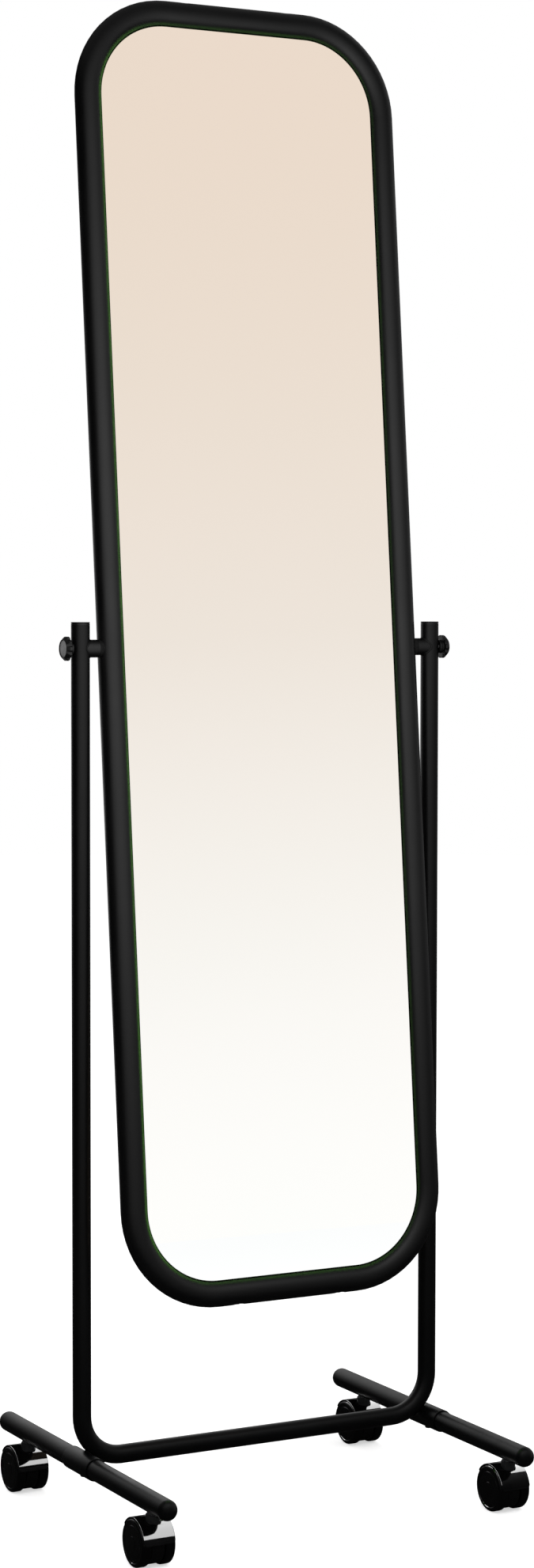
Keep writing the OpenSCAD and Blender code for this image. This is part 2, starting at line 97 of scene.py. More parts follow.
HERE = Matrix.Identity(4)
TO_X = Matrix.Rotation(math.radians(90), 4, "Y")
TO_Y = Matrix.Rotation(math.radians(-90), 4, "X")
TO_MINUS_Y = Matrix.Rotation(math.radians(90), 4, "X")
UPSIDE_DOWN = Matrix.Rotation(math.pi, 4, "X")
MIRROR = Matrix.Translation((0, POST_Y, PIVOT_Z)) @ Matrix.Rotation(-TILT, 4, "X")


# ---- materials ----


class Nodes:
    """A node tree whose nodes and links are written in one line each."""

    def __init__(self, tree):
        self.tree = tree

    def node(self, kind, **settings):
        n = self.tree.nodes.new(kind)
        for key, value in settings.items():
            setattr(n, key, value)
        return n

    def feed(self, socket, value):
        """Gives a socket a link from another one, or a number or colour of its own."""
        if isinstance(value, bpy.types.NodeSocket):
            self.tree.links.new(value, socket)
        else:
            socket.default_value = (*value, 1) if isinstance(value, tuple) else value

    def math(self, operation, *values):
        n = self.node("ShaderNodeMath", operation=operation)
        for socket, value in zip(n.inputs, values):
            self.feed(socket, value)
        return n.outputs["Value"]

    def spread(self, value, low, high, a=0.35, b=0.65, ease="LINEAR"):
        """Maps a to b onto low to high."""
        n = self.node("ShaderNodeMapRange", interpolation_type=ease)
        for key, v in zip(("From Min", "From Max", "To Min", "To Max"), (a, b, low, high)):
            n.inputs[key].default_value = v
        self.feed(n.inputs["Value"], value)
        return n.outputs["Result"]

    def mix(self, fac, a, b):
        """Colour a where fac is 0 and b where it is 1."""
        n = self.node("ShaderNodeMix", data_type="RGBA")
        self.feed(n.inputs["Factor"], fac)
        for key, v in (("A", a), ("B", b)):
            self.feed([s for s in n.inputs if s.name == key and s.type == "RGBA"][0], v)
        return [s for s in n.outputs if s.type == "RGBA"][0]

    def glow(self, strength, color=(1, 1, 1)):
        n = self.node("ShaderNodeEmission")
        self.feed(n.inputs["Strength"], strength)
        self.feed(n.inputs["Color"], color)
        return n.outputs[0]

    def add(self, first, second):
        n = self.node("ShaderNodeAddShader")
        self.feed(n.inputs[0], first)
        self.feed(n.inputs[1], second)
        return n.outputs[0]

    def finish(self, kind, shader):
        self.feed(self.node(kind).inputs["Surface"], shader)


class Shader(Nodes):
    """A Principled material."""

    def __init__(self, name, color, **values):
        self.mat = bpy.data.materials.new(name)
        self.mat.use_nodes = True
        super().__init__(self.mat.node_tree)
        self.bsdf = self.tree.nodes["Principled BSDF"]
        self.color(color)
        for key, value in values.items():
            self.bsdf.inputs[key.replace("_", " ")].default_value = value
        self.place = self.node("ShaderNodeTexCoord").outputs["Object"]

    def noise(self, scale, detail=3.0, stretch=None, rough=0.5):
        n = self.node("ShaderNodeTexNoise")
        for key, v in (("Scale", scale), ("Detail", detail), ("Roughness", rough)):
            n.inputs[key].default_value = v
        where = self.place
        if stretch:
            m = self.node("ShaderNodeMapping")
            m.inputs["Scale"].default_value = stretch
            self.feed(m.inputs["Vector"], where)
            where = m.outputs["Vector"]
        self.feed(n.inputs["Vector"], where)
        return n.outputs["Fac"]

    def color(self, value):
        self.feed(self.bsdf.inputs["Base Color"], value)

    def rough(self, value):
        self.feed(self.bsdf.inputs["Roughness"], value)

    def bump(self, *layers):
        """Each layer is (height, strength, distance); they pile up on one normal."""
        normal = None
        for height, strength, distance in layers:
            n = self.node("ShaderNodeBump")
            n.inputs["Strength"].default_value = strength
            n.inputs["Distance"].default_value = distance
            self.feed(n.inputs["Height"], height)
            if normal:
                self.feed(n.inputs["Normal"], normal)
            normal = n.outputs["Normal"]
        self.feed(self.bsdf.inputs["Normal"], normal)


def powder_coat(name, gloss):
    s = Shader(name, (0.0014, 0.0014, 0.0015), Roughness=0.38, Specular_IOR_Level=gloss)
    cloudy = s.spread(s.noise(9, 4), 0, 1)
    s.color(s.mix(cloudy, (0.0010, 0.0010, 0.0011), (0.0018, 0.0018, 0.0020)))
    s.rough(s.spread(s.noise(14, 5), 0.34, 0.42))
    s.bump((s.noise(620, 2), 0.10, 0.0004), (s.noise(60, 2), 0.05, 0.002))
    return s.mat


def satin_plastic(name, color, rough, grain):
    s = Shader(name, color, Roughness=rough)
    dark = tuple(c * 0.8 for c in color)
    light = tuple(c * 1.25 for c in color)
    s.color(s.mix(s.spread(s.noise(70, 3), 0, 1), dark, light))
    s.rough(s.spread(s.noise(160, 3), rough - 0.05, rough + 0.07))
    s.bump((s.noise(2600, 2), grain, 0.0002))
    return s.mat


def gloss_plastic():
    s = Shader("gloss black moulding", (0.0015, 0.0015, 0.0016), Roughness=0.05)
    cloudy = s.spread(s.noise(50, 3), 0, 1)
    s.color(s.mix(cloudy, (0.0011, 0.0011, 0.0012), (0.0020, 0.0020, 0.0021)))
    scuffs = s.noise(420, 4, stretch=(1, 0.25, 1), rough=0.7)
    s.rough(s.spread(scuffs, 0.03, 0.08))
    s.bump((s.noise(45, 2), 0.03, 0.002))
    return s.mat


def black_steel():
    s = Shader("black zinc steel", (0.0075, 0.0078, 0.0084), Roughness=0.42, Specular_IOR_Level=0.4)
    s.color(s.mix(s.spread(s.noise(300, 4), 0, 1), (0.006, 0.0062, 0.0068), (0.009, 0.0094, 0.010)))
    s.rough(s.spread(s.noise(500, 4), 0.36, 0.48))
    s.bump((s.noise(900, 3), 0.08, 0.0003))
    return s.mat


def zinc_steel():
    s = Shader("zinc plated steel", (0.55, 0.56, 0.58), Roughness=0.32, Metallic=1.0)
    s.color(s.mix(s.spread(s.noise(220, 4), 0, 1), (0.48, 0.50, 0.53), (0.60, 0.60, 0.60)))
    s.rough(s.spread(s.noise(700, 4, stretch=(0.2, 1, 1)), 0.24, 0.42))
    s.bump((s.noise(1500, 3), 0.06, 0.0002))
    return s.mat


def rubber():
    s = Shader("black rubber", (0.003, 0.003, 0.003), Roughness=0.72, Specular_IOR_Level=0.3)
    dusty = s.spread(s.noise(400, 3), 0, 1)
    s.color(s.mix(dusty, (0.0024, 0.0024, 0.0024), (0.0040, 0.0040, 0.0038)))
    s.rough(s.spread(s.noise(300, 3), 0.64, 0.80))
    s.bump((s.noise(1800, 2), 0.12, 0.0002))
    return s.mat


def silver():
    s = Shader("silvered glass", (0.93, 0.94, 0.94), Roughness=0.0, Metallic=1.0)
    s.color(s.mix(s.spread(s.noise(2.2, 2), 0, 1), (0.925, 0.94, 0.935), (0.94, 0.945, 0.945)))
    return s.mat


def glass_edge():
    s = Shader("ground glass edge", (0.03, 0.07, 0.02), Roughness=0.5, Specular_IOR_Level=0.1)
    s.color(s.mix(s.spread(s.noise(120, 4), 0, 1), (0.024, 0.058, 0.015), (0.036, 0.082, 0.024)))
    s.rough(s.spread(s.noise(900, 3), 0.42, 0.60))
    s.bump((s.noise(2000, 2), 0.10, 0.0002))
    return s.mat


def hardboard():
    s = Shader("brown hardboard", (0.24, 0.19, 0.14), Roughness=0.6)
    fibres = s.noise(190, 6, stretch=(1, 1, 0.35), rough=0.7)
    cloudy = s.noise(7, 4)
    base = s.mix(s.spread(fibres, 0, 1), (0.17, 0.125, 0.085), (0.31, 0.25, 0.185))
    s.color(s.mix(s.spread(cloudy, 0, 0.45), base, (0.22, 0.165, 0.115)))
    s.rough(s.spread(fibres, 0.5, 0.72))
    s.bump((fibres, 0.25, 0.0006), (s.noise(1400, 2), 0.10, 0.0002))
    return s.mat


M_TUBE = powder_coat("black powder coat", 0.32)
M_FRAME = powder_coat("black frame powder coat", 0.52)
M_MOULD = satin_plastic("satin black moulding", (0.0022, 0.0022, 0.0022), 0.36, 0.10)
M_WHEEL = satin_plastic("black wheel moulding", (0.0008, 0.0008, 0.0009), 0.09, 0.01)
M_GLOSS = gloss_plastic()
M_GREY = satin_plastic("grey cap plastic", (0.14, 0.14, 0.14), 0.45, 0.08)
M_BLACK = black_steel()
M_ZINC = zinc_steel()
M_RUBBER = rubber()
M_SILVER = silver()
M_EDGE = glass_edge()
M_BACK = satin_plastic("mirror back paint", (0.10, 0.11, 0.115), 0.55, 0.05)
M_BOARD = hardboard()

BY_SLOT = {
    "black_tube": M_TUBE,
    "black_moulding": M_MOULD,
    "gloss_moulding": M_GLOSS,
    "grey_cap": M_GREY,
    "black_steel": M_BLACK,
    "zinc_steel": M_ZINC,
    "black_rubber": M_RUBBER,
    "silvered_glass": M_SILVER,
    "fibreboard": M_BOARD,
}
for part in frame["record"]["subparts"]:
    nodes[part["node"]].data.materials[0] = BY_SLOT[part["material_slot"]]
# The mirror's frame and the stubs shine a little more than the rest of the stand.
for side, _ in SIDES:
    nodes["frame_" + side].data.materials[0] = M_FRAME
    nodes["pivot_stub_" + side].data.materials[0] = M_FRAME


# ---- mesh helpers ----


def mesh_object(name, bm):
    """Puts bm in the scene as an object, and frees it."""
    mesh = bpy.data.meshes.new(name)
    bm.to_mesh(mesh)
    bm.free()
    obj = bpy.data.objects.new(name, mesh)
    bpy.context.scene.collection.objects.link(obj)
    return obj


def solid_object(name, bm):
    """The same for a closed bm, whose faces are first made to look outwards."""
    bmesh.ops.recalc_face_normals(bm, faces=bm.faces)
    return mesh_object(name, bm)


def finish_mesh(name, bm, place, mats, body, replaces=(), crease=35):
    """Turns bm into an object at place that rides on a body and stands for CAD nodes."""
    obj = solid_object(name, bm)
    mesh = obj.data
    mesh.transform(place)
    if place.is_negative:
        mesh.flip_normals()
    for m in mats:
        mesh.materials.append(m)
    mesh.polygons.foreach_set("use_smooth", [True] * len(mesh.polygons))
    mesh.set_sharp_from_angle(angle=math.radians(crease))
    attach(obj, body)
    if replaces:
        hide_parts(*replaces)


def bridge(bm, rings, closed=False):
    """Faces between neighbouring rings of points. A ring of one point makes a tip."""
    n = max(len(ring) for ring in rings)
    following = rings[1:] + rings[:1] if closed else rings[1:]
    for a, b in zip(rings, following):
        for k in range(n):
            j = (k + 1) % n
            corners = [a[k % len(a)], a[j % len(a)], b[j % len(b)], b[k % len(b)]]
            bm.faces.new(list(dict.fromkeys(corners)))


def capped(bm, rings):
    """A solid between the first ring and the last."""
    bridge(bm, rings)
    bm.faces.new(rings[0])
    bm.faces.new(rings[-1])
    return bm


def around(count):
    """Angles of a full turn in even steps."""
    return [2 * math.pi * k / count for k in range(count)]


def rounded(points, steps=6):
    """Rounds the corners of a line of (u, v, radius) and returns its points."""
    out = []
    for i, (u, v, r) in enumerate(points):
        here = Vector((u, v))
        if not r or i in (0, len(points) - 1):
            out.append(here)
            continue
        a = (Vector(points[i - 1][:2]) - here).normalized()
        b = (Vector(points[i + 1][:2]) - here).normalized()
        half = math.acos(max(-1, min(1, a.dot(b)))) / 2
        reach = r / math.tan(half)
        mid = here + (a + b).normalized() * (r / math.sin(half))
        p, q = here + a * reach - mid, here + b * reach - mid
        sweep = math.pi - 2 * half
        for k in range(steps + 1):
            t = k / steps
            w = (p * math.sin((1 - t) * sweep) + q * math.sin(t * sweep)) / math.sin(sweep)
            out.append(mid + w)
    return out


def lathe(bm, line, segments=96, shape=None):
    """Revolves a line of (radius, height) about Z. shape(angle, radius, height) may move points."""
    rings = []
    for u, v in line:
        if u < 1e-7:
            rings.append([bm.verts.new((0, 0, v))])
            continue
        ring = []
        for a in around(segments):
            r, h = shape(a, u, v) if shape else (u, v)
            ring.append(bm.verts.new((r * math.cos(a), r * math.sin(a), h)))
        rings.append(ring)
    bridge(bm, rings)


def turned(name, suffix, line, place, mat, body, segments=96):
    """A lathed piece that stands for the CAD node called name."""
    bm = bmesh.new()
    lathe(bm, line, segments)
    finish_mesh(name + suffix, bm, place, [mat], body, [name])


def sweep(bm, points, radius, outwards, squash, sides=12):
    """A closed bead along closed points, with a radius and a way outwards for each of them."""
    rings = []
    for i, p in enumerate(points):
        ahead = (points[(i + 1) % len(points)] - points[i - 1]).normalized()
        up = outwards[i] - ahead * outwards[i].dot(ahead)
        up.normalize()
        side = ahead.cross(up)
        rings.append([
            bm.verts.new(p + (up * math.cos(a) * squash + side * math.sin(a)) * radius[i])
            for a in around(sides)
        ])
    bridge(bm, rings, closed=True)


def resample(points, count):
    """Points of a closed line, evenly spaced along it."""
    closed = points + points[:1]
    at = np.concatenate([[0], np.cumsum([(b - a).length for a, b in zip(closed, closed[1:])])])
    grid = np.linspace(0, at[-1], count, endpoint=False)
    co = np.array([tuple(p) for p in closed])
    return [Vector([np.interp(g, at, co[:, k]) for k in range(3)]) for g in grid]


def screw_head(bm, radius, height, place):
    """A pan head with a cross recess, sitting on z = 0 and looking up."""
    segments, rings = 64, 22
    flat, fall = 0.45, 0.62
    cross, arm, drive_depth = radius * 0.55, radius * 0.13, 0.75

    def top(r):
        edge = max(0.0, (r / radius - flat) / 0.55)
        return height * (1 - fall * edge ** 3.2)

    def clamp(value):
        return min(1, max(0, value))

    grid = []
    for i in range(rings + 1):
        r = radius * i / rings
        ring = []
        for a in around(segments if i else 1):
            x, y = r * math.cos(a), r * math.sin(a)
            along, across = max(abs(x), abs(y)), min(abs(x), abs(y))
            deep = clamp((arm - across) / (arm * 0.5)) * clamp((cross - along) / (cross * 0.35))
            ring.append(bm.verts.new(place @ Vector((x, y, top(r) - height * drive_depth * deep))))
        grid.append(ring)
    foot = [
        bm.verts.new(place @ Vector((radius * math.cos(a), radius * math.sin(a), 0)))
        for a in around(segments)
    ]
    bridge(bm, grid + [foot])
    bm.faces.new(foot)


def rod(bm, radius, z0, z1, place, segments=32):
    start = len(bm.verts)
    lathe(bm, [(0, z0), (radius, z0), (radius, z1), (0, z1)], segments)
    bm.verts.ensure_lookup_table()
    for v in bm.verts[start:]:
        v.co = place @ v.co


def screws(name, radius, height, shank, places, mat, body):
    """Pan-head screws, each place with z outwards and its origin under the head.
    shank is its (radius, length)."""
    bm = bmesh.new()
    for place in places:
        screw_head(bm, radius, height, place)
        rod(bm, shank[0], -shank[1], -0.00005, place)
    finish_mesh(name + "_pan_heads", bm, HERE, [mat], body, [name])


# ---- stand ----


def plug(tube_r):
    """The part of an end cap's line that sits in its tube."""
    r = tube_r - PLUG_IN
    return [
        (0, -PLUG_LEN, 0), (r - PLUG_EASE, -PLUG_LEN, 0), (r, -PLUG_LEN + PLUG_EASE, 0), (r, 0, 0),
    ]


def foot_cap(name, x, sy):
    """A dome with a hair-fine join where it meets its tube."""
    line = rounded(plug(FOOT_R) + [(FOOT_R, 0, 0.0001), (FOOT_R, 0.0003, 0)], 4)
    dome = [math.pi / 2 * k / 24 for k in range(1, 24)]
    line += [Vector((FOOT_R * math.cos(a), FOOT_R * math.sin(a))) for a in dome]
    line.append(Vector((0, FOOT_R)))
    place = Matrix.Translation((x, sy * FOOT_END, FOOT_Z)) @ (TO_Y if sy > 0 else TO_MINUS_Y)
    turned(name, "_moulding", line, place, M_TUBE, "stand")


def post_cap(name, x):
    """A flat cap with a shallow ring round it."""
    ring_r = TUBE_R - 0.0004
    line = rounded(plug(TUBE_R) + [
        (TUBE_R, 0, 0.00025), (TUBE_R, 0.0015, 0.0002),
        (ring_r, 0.0016, 0.0001), (ring_r, 0.0019, 0.0001), (TUBE_R, 0.0020, 0.0002),
        (TUBE_R, POST_CAP_T, 0.0005), (TUBE_R * 0.5, POST_CAP_T, 0), (0, POST_CAP_T, 0),
    ], 5)
    place = Matrix.Translation((x, POST_Y, POST_TOP - POST_CAP_T))
    turned(name, "_moulding", line, place, M_MOULD, "stand")


def sleeve(name, x):
    """A short tube with its outer ends eased."""
    h = SLEEVE_LEN / 2
    half = rounded([
        (SLEEVE_IN_R, 0, 0), (SLEEVE_IN_R, h, 0.0003), (SLEEVE_R, h, 0.0007), (SLEEVE_R, 0, 0),
    ], 5)
    line = half + [Vector((p[0], -p[1])) for p in reversed(half[1:-1])] + [half[0]]
    bm = bmesh.new()
    lathe(bm, line)
    bmesh.ops.remove_doubles(bm, verts=bm.verts, dist=1e-7)
    place = Matrix.Translation((x, 0, FOOT_Z)) @ TO_MINUS_Y
    finish_mesh(name + "_tube", bm, place, [M_TUBE], "stand", [name])


def weld_bead(name, points, outwards, radius, squash):
    """A rippled bead of overlapping drops of weld, about one for each 2.2 points."""
    radii = [
        radius * (0.86 + 0.2 * abs(math.sin(i * 0.62)) + 0.05 * math.sin(i * 1.7))
        for i in range(len(points))
    ]
    bm = bmesh.new()
    sweep(bm, points, radii, outwards, squash)
    finish_mesh(name, bm, HERE, [M_TUBE], "stand", crease=80)


def stub_weld(side, s):
    """Follows the end of the stub, which is coped round the post."""
    points = []
    for a in around(240):
        y, z = STUB_R * math.sin(a), STUB_R * math.cos(a)
        x = POST_X - math.sqrt(TUBE_R ** 2 - y * y)
        points.append(Vector((s * x, POST_Y + y, PIVOT_Z + z)))
    points = resample(points, 200)
    out = [
        Vector((-s * 0.7, (p.y - POST_Y) / STUB_R, (p.z - PIVOT_Z) / STUB_R)).normalized()
        for p in points
    ]
    weld_bead("stub_weld_" + side, points, out, STUB_BEAD_R, 0.75)


def sleeve_weld(side, s):
    """Follows the line where the bend of the U tube cuts the sleeve."""
    centre = Vector((POST_X - BEND_R, RAIL_Z + BEND_R))

    def offset(a):
        p = Vector((POST_X + SLEEVE_R * math.cos(a), FOOT_Z + SLEEVE_R * math.sin(a)))
        return (p - centre).length - BEND_R

    loop = []
    for a in [math.radians(tenth / 10) for tenth in range(450, 2250)]:
        if abs(offset(a)) < TUBE_R:
            loop.append((a, math.sqrt(max(0, TUBE_R ** 2 - offset(a) ** 2))))
    loop += [(a, -y) for a, y in reversed(loop)]
    points = resample([
        Vector((s * (POST_X + SLEEVE_R * math.cos(a)), POST_Y + y, FOOT_Z + SLEEVE_R * math.sin(a)))
        for a, y in loop
    ], 260)
    out = [
        Vector((p.x - s * POST_X, (p.y - POST_Y) * 0.5, p.z - FOOT_Z)).normalized() for p in points
    ]
    weld_bead("sleeve_weld_" + side, points, out, SLEEVE_BEAD_R, 0.8)


for side, s in SIDES:
    post_cap("post_cap_" + side, s * POST_X)
    sleeve("sleeve_" + side, s * POST_X)
    stub_weld(side, s)
    sleeve_weld(side, s)
    for end, sy in ENDS:
        foot_cap("foot_cap_%s_%s" % (side, end), s * POST_X, sy)


screws(
    "sleeve_screws", 0.004, 0.0018, (0.0025, 0.0049),
    [Matrix.Translation((s * POST_X, 0, FOOT_Z - SLEEVE_R)) @ UPSIDE_DOWN for _, s in SIDES],
    M_BLACK, "stand",
)


# ---- mirror ----


def pane_outline(inset, per_corner=28):
    """(x, z) points of the pane's edge, this far inside the frame tube's axis."""
    half_w, top, bottom, r = SIDE_X - inset, TOP_V - inset, BOTTOM_V - inset, CORNER_R - inset
    out = []
    for cx, cz, a0 in (
        (half_w - r, top - r, 0), (r - half_w, top - r, 90),
        (r - half_w, r - bottom, 180), (half_w - r, r - bottom, 270),
    ):
        for k in range(per_corner + 1):
            a = math.radians(a0 + 90 * k / per_corner)
            out.append((cx + r * math.cos(a), cz + r * math.sin(a)))
    return out


def glass():
    """The pane: silvered front, ground green edges with a small arris, painted back."""
    bm = bmesh.new()
    rings = []
    for inset, y in (
        (GLASS_ARRIS, GLASS_FRONT), (0, GLASS_FRONT + GLASS_ARRIS),
        (0, GLASS_BACK - GLASS_ARRIS), (GLASS_ARRIS, GLASS_BACK),
    ):
        rings.append([bm.verts.new((x, y, z)) for x, z in pane_outline(PANE_INSET + inset)])
    bridge(bm, rings)
    for face in bm.faces:
        face.material_index = 1
    bm.faces.new(rings[0]).material_index = 0
    bm.faces.new(rings[-1]).material_index = 2
    finish_mesh("mirror_pane", bm, MIRROR, [M_SILVER, M_EDGE, M_BACK], "mirror",
                ["mirror_glass"], crease=20)


glass()


def board_screw_places():
    """Twelve screws on the tabs' rear faces: four up each side, two at the top and two below."""
    edge = GLASS_INSET + TAB_HOLE_IN
    face = GLASS_BACK + BOARD_T + TAB_T
    spots = []
    for _, s in SIDES:
        for k in (1, 3, 5, 7):
            spots.append((s * (SIDE_X - edge), CORNER_R - BOTTOM_V + STRAIGHT_V * k / 8))
        spots.append((s * STRAIGHT_X / 2, edge - BOTTOM_V))
        spots.append((s * STRAIGHT_X / 2, TOP_V - edge))
    return [MIRROR @ Matrix.Translation((x, face, z)) @ TO_Y for x, z in spots]


def frame_screw_places():
    """Two screws at the top and two below, their heads on the floor of the dimples."""
    seat = FRAME_R - DIMPLE_DEPTH + DIMPLE_BALL - math.sqrt(DIMPLE_BALL ** 2 - HEAD_R ** 2)
    places = []
    for _, s in SIDES:
        x = s * (STRAIGHT_X - FRAME_SCREW_IN)
        places.append(MIRROR @ Matrix.Translation((x, 0, TOP_V + seat)))
        places.append(MIRROR @ Matrix.Translation((x, 0, -BOTTOM_V - seat)) @ UPSIDE_DOWN)
    return places


screws(
    "board_screws", 0.0035, 0.002, (0.00175, 0.005), board_screw_places(),
    M_ZINC, "mirror",
)
screws(
    "frame_screws", HEAD_R, 0.0018, (0.002, 0.0126), frame_screw_places(),
    M_BLACK, "mirror",
)


# ---- knobs ----


def star_radius():
    """Outline of the star knob by angle, its cusps rounded off."""
    far = KNOB_R + KNOB_HOLLOW_R * 0.35
    pitch = 2 * math.pi / KNOB_LOBES
    count = 720
    out = np.full(count, KNOB_R)
    for k in range(count):
        d = (2 * math.pi * k / count - math.pi / 2) % pitch - pitch / 2
        off = far * math.sin(d)
        if abs(off) < KNOB_HOLLOW_R:
            out[k] = min(KNOB_R, far * math.cos(d) - math.sqrt(KNOB_HOLLOW_R ** 2 - off ** 2))
    window = np.hanning(15)
    window /= window.sum()
    wrapped = np.concatenate([out[-7:], out, out[:7]])
    return np.convolve(wrapped, window, "valid")


STAR = star_radius()


def on_bolt(s, x):
    """Turns a piece that looks up into one that looks outwards at x on the side s of the pivot."""
    return Matrix.Diagonal((s, 1, 1, 1)) @ Matrix.Translation((x, POST_Y, PIVOT_Z)) @ TO_X


def knob(name, body, s):
    """The moulding: a round neck, and a lobed head with a seat for the cap in its face."""
    seat_r = KNOB_CAP_R + 0.0001
    seat_floor = KNOB_TOP - KNOB_CAP_IN - KNOB_CAP_T
    lip = seat_r + KNOB_LIP

    def shape(a, u, v):
        if v < KNOB_NECK - 1e-7 or u < lip:
            return u, v
        edge = STAR[int(round(a / (2 * math.pi) * len(STAR))) % len(STAR)]
        return lip + (u - lip) * (edge - lip) / (KNOB_R - lip), v

    line = rounded([
        (KNOB_BORE_R, 0, 0), (KNOB_NECK_R, 0, 0.0004), (KNOB_NECK_R, KNOB_NECK, 0.0005),
        (KNOB_R, KNOB_NECK, 0.0007), (KNOB_R, KNOB_NECK + 0.0028, 0.0012), (lip, KNOB_TOP, 0.0006),
        (seat_r, KNOB_TOP, 0.0002), (seat_r, seat_floor, 0), (KNOB_BORE_R, seat_floor, 0),
    ], 7)
    line = [p for i, p in enumerate(line) if i == 0 or (p - line[i - 1]).length > 1e-8] + [line[0]]
    bm = bmesh.new()
    lathe(bm, line, 360, shape)
    bmesh.ops.remove_doubles(bm, verts=bm.verts, dist=1e-8)
    place = on_bolt(s, KNOB_FACE)
    finish_mesh(name + "_moulding", bm, place, [M_MOULD], body, [name])


def knob_cap(name, body, s):
    r, t = KNOB_CAP_R, KNOB_CAP_T
    line = rounded([(0, 0, 0), (r, 0, 0), (r, t, 0.0003), (r * 0.6, t, 0), (0, t, 0)], 5)
    place = on_bolt(s, KNOB_END - KNOB_CAP_IN - t)
    turned(name, "_disc", line, place, M_GREY, body)


for side, s in SIDES:
    knob("knob_" + side, "clamp knob " + side, s)
    knob_cap("knob_cap_" + side, "clamp knob " + side, s)


# ---- casters ----


def wheel(name, body, x, y, s):
    """Twin-caster wheel, outwards up: round shoulders, a rim step, a dished face and a hub cap."""
    rim, shell = WHEEL_R - 0.0045, WHEEL_R - 0.003
    inside, bore_end = WHEEL_IN + 0.004, WHEEL_IN + WHEEL_BORE_LEN
    seam, step, hub = (WHEEL_IN + WHEEL_OUT) / 2, WHEEL_OUT - 0.0008, WHEEL_OUT - 0.0001
    line = [Vector((0, bore_end)), Vector((WHEEL_BORE_R, bore_end))] + rounded([
        (WHEEL_BORE_R, WHEEL_IN, 0), (0.006, WHEEL_IN, 0.0003), (0.006, inside, 0.0006),
        (shell, inside, 0.0006), (shell, WHEEL_IN, 0.0003), (WHEEL_R, WHEEL_IN, 0.0018),
        (WHEEL_R, seam - 0.0001, 0), (WHEEL_R, seam + 0.0001, 0), (WHEEL_R, WHEEL_OUT, 0.0026),
        (rim + 0.0004, WHEEL_OUT, 0.0005), (rim, step, 0.0004), (rim - 0.0022, step, 0.0002),
        (rim - 0.0026, WHEEL_OUT - 0.0004, 0.0003), (0.0072, WHEEL_OUT - 0.0006, 0.0006),
        (0.0066, hub, 0.0004), (0.0040, hub, 0), (0, hub, 0),
    ], 6)
    place = Matrix.Translation((x, y, WHEEL_R)) @ Matrix.Diagonal((s, 1, 1, 1)) @ TO_X
    turned(name, "_moulding", line, place, M_WHEEL, body, 128)


def fender():
    """The shell over both wheels: rolled edges, and lips with round corners."""
    middle, arc = (HOOD_IN + HOOD_OUT) / 2, HOOD_REAR - HOOD_FRONT
    half = rounded([
        (0, HOOD_OUT, 0), (HOOD_EDGE - 0.00075, HOOD_OUT, 0), (HOOD_EDGE, HOOD_OUT, HOOD_ROLL),
        (HOOD_EDGE, HOOD_IN, 0.0003), (0, HOOD_IN, 0),
    ], 6)
    loop = [tuple(p) for p in half] + [(-p[0], p[1]) for p in reversed(half[1:-1])]
    along = 96
    close = [0.004, 0.010, 0.018, 0.028, 0.045]
    steps = sorted({i / along for i in range(along + 1)} | set(close) | {1 - e for e in close})
    bm = bmesh.new()
    rings = []
    for t in steps:
        a = HOOD_FRONT + arc * t
        near = min(t, 1 - t) * arc * middle
        thin, cut = 1, 0
        if near < HOOD_ROLL:
            thin = math.sqrt(max(0.05, 1 - (1 - near / HOOD_ROLL) ** 2))
        if near < HOOD_CORNER:
            cut = HOOD_CORNER - math.sqrt(HOOD_CORNER ** 2 - (HOOD_CORNER - near) ** 2)
        wide = (HOOD_EDGE - cut) / HOOD_EDGE
        ring = []
        for u, v in loop:
            r = middle + (v - middle) * thin
            ring.append(bm.verts.new((u * wide, -r * math.cos(a), r * math.sin(a))))
        rings.append(ring)
    return capped(bm, rings)


def web():
    """The block between the wheels, its two faces eased."""
    under, rest = HOOD_REAR - HOOD_FRONT, 2 * math.pi - HOOD_REAR + HOOD_FRONT
    outline = [(HOOD_IN + 0.0006, HOOD_FRONT + under * k / 90) for k in range(91)]
    outline += [(WEB_DISC_R, HOOD_REAR + rest * k / 130) for k in range(131)]
    bm = bmesh.new()
    rings = []
    for x, inset in (
        (-WEB_HALF, WEB_EASE), (WEB_EASE - WEB_HALF, 0),
        (WEB_HALF - WEB_EASE, 0), (WEB_HALF, WEB_EASE),
    ):
        rings.append([
            bm.verts.new((x, -(r - inset) * math.cos(a), (r - inset) * math.sin(a)))
            for r, a in outline
        ])
    return capped(bm, rings)


def hood_mesh():
    """Fender and web in one, less the collar's pocket, the pin's socket and the axle hole."""
    body = solid_object("hood_body", fender())
    block = solid_object("hood_web", web())
    swivel = Matrix.Translation((0, -TRAIL, 0))
    cuts = []
    # Heights are over the axle, and the last cut lies along it.
    for radius, z0, z1, place in (
        (COLLAR_R + 0.0006, COLLAR_Z - 0.0001 - WHEEL_R, 0.04, swivel),
        (STEM_R + 0.00005, 0.0025, 0.04, swivel),
        (AXLE_R, -0.02, 0.02, TO_X),
    ):
        bm = bmesh.new()
        rod(bm, radius, z0, z1, place, 96)
        cuts.append(solid_object("hood_cut", bm))
    for other, kind in [(block, "UNION")] + [(c, "DIFFERENCE") for c in cuts]:
        m = body.modifiers.new(kind, "BOOLEAN")
        m.operation, m.solver, m.object = kind, "EXACT", other
    done = body.evaluated_get(bpy.context.evaluated_depsgraph_get())
    mesh = bpy.data.meshes.new_from_object(done)
    for obj in [body, block] + cuts:
        bpy.data.objects.remove(obj)
    return mesh


HOOD = hood_mesh()


def hood(name, body, x, y):
    bm = bmesh.new()
    bm.from_mesh(HOOD)
    place = Matrix.Translation((x, y, WHEEL_R))
    finish_mesh(name + "_moulding", bm, place, [M_GLOSS], body, [name], crease=40)


